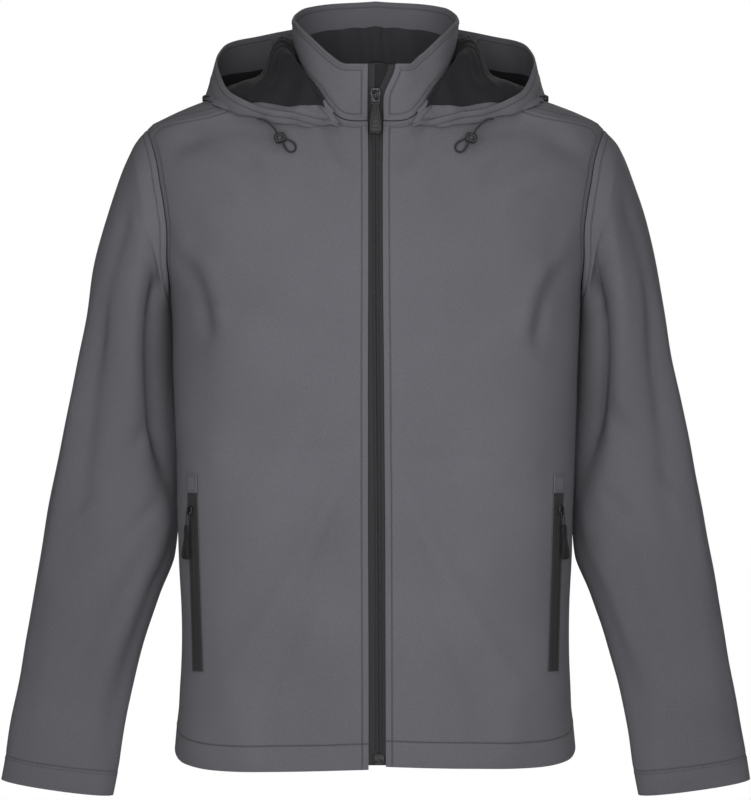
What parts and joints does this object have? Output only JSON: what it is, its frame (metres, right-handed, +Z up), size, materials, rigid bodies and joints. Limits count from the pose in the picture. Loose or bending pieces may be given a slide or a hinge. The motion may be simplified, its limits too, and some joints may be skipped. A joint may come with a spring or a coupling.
{
  "type": "softshell jacket",
  "caption": "Hooded softshell jacket with a full front zip, stand collar, hood folded back and zipped hand pockets, filled out with no wearer.",
  "frame": {"origin": "at the base of the neck, midway between the two shoulders, where a wearer or a hanger holds it up", "axes": "+Z up, the front faces -Y, +X is the wearer's left"},
  "size_m": [0.79, 0.3035, 0.8495],
  "materials": {
    "shell": "matte woven, charcoal grey",
    "lining": "matte, near black",
    "zip_tape": "matte tape with a coil chain",
    "dark_metal": "satin gunmetal",
    "rubber_grip": "satin",
    "cord": "round braided cord"
  },
  "bodies": {
    "jacket": {"front_left": "shell", "front_right": "shell", "back": "shell", "sleeve_left": "shell", "sleeve_right": "shell", "collar": "shell", "neck_lining": "lining", "hanger_loop": "zip_tape", "hood_left": "shell", "hood_crown": "shell", "hood_right": "shell", "hood_lining": "lining", "zip_tape_left": "zip_tape", "zip_tape_right": "zip_tape", "zip_chain": "zip_tape", "wind_flap": "lining", "zip_box": "rubber_grip", "main_slider": "dark_metal", "pocket_zip_left": "zip_tape", "pocket_zip_right": "zip_tape", "pocket_chain_left": "zip_tape", "pocket_chain_right": "zip_tape", "pocket_garage_left": "shell", "pocket_garage_right": "shell", "pocket_slider_left": "dark_metal", "pocket_slider_right": "dark_metal", "drawcord_left": "cord", "drawcord_right": "cord", "cord_lock_left": "rubber_grip", "cord_lock_right": "rubber_grip"},
    "main_pull": {"main_pull_ring": "dark_metal", "main_pull_grip": "rubber_grip"},
    "pocket_pull_left": {"pocket_pull_loop_left": "dark_metal", "pocket_pull_grip_left": "rubber_grip"},
    "pocket_pull_right": {"pocket_pull_loop_right": "dark_metal", "pocket_pull_grip_right": "rubber_grip"}
  },
  "joints": [
    {"name": "main_pull_hinge", "type": "hinge", "parent": "jacket", "child": "main_pull", "pos_m": [0, -0.11411, -0.019], "axis": [-1, 0, 0], "range_deg": [0, 150]},
    {"name": "pocket_pull_left_hinge", "type": "hinge", "parent": "jacket", "child": "pocket_pull_left", "pos_m": [0.19036, -0.08332, -0.43812], "axis": [-0.6276, -0.767, -0.1334], "range_deg": [0, 150]},
    {"name": "pocket_pull_right_hinge", "type": "hinge", "parent": "jacket", "child": "pocket_pull_right", "pos_m": [-0.19036, -0.08332, -0.43812], "axis": [-0.6276, 0.767, 0.1334], "range_deg": [0, 150]}
  ]
}
